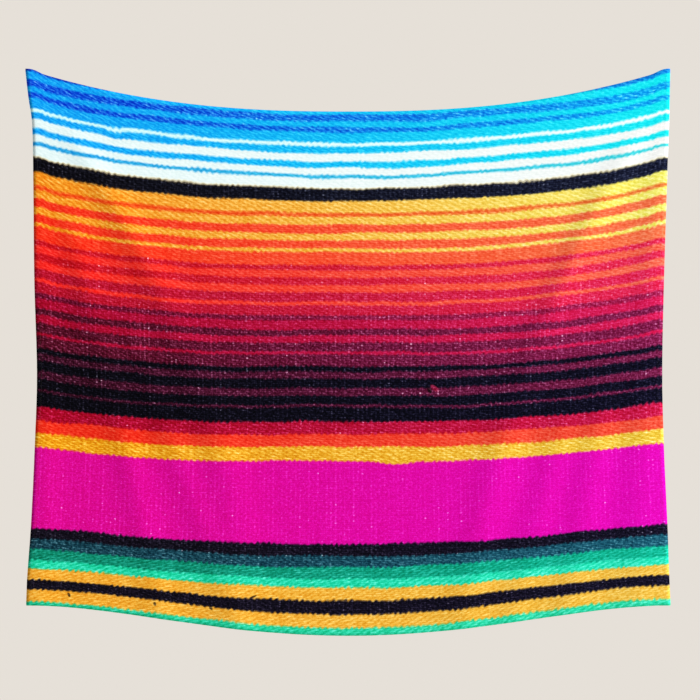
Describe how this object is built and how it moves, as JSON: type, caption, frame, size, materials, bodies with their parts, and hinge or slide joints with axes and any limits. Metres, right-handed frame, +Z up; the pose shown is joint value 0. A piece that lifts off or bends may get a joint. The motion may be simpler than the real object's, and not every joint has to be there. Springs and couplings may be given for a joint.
{
  "type": "wall tapestry",
  "caption": "Rectangular cloth wall tapestry printed with serape-style stripes, hung on a wall by its top corners, its top edge sagging in a shallow curve.",
  "frame": {"origin": "on the wall, midway between the centres of the two pads behind the top corners", "axes": "+X to the viewer's right, +Y into the wall, +Z up"},
  "size_m": [1.505, 0.0181, 1.322],
  "materials": {
    "printed_cloth": "woven polyester printed edge to edge with serape stripes, matt, its turned hems showing the printed side",
    "fixing_pad": "plain white foam fixing pad"
  },
  "bodies": {
    "root": {"panel": "printed_cloth", "hem_top": "printed_cloth", "hem_bottom": "printed_cloth", "hem_left": "printed_cloth", "hem_right": "printed_cloth", "wall_pad_left": "fixing_pad", "wall_pad_right": "fixing_pad"}
  },
  "joints": []
}
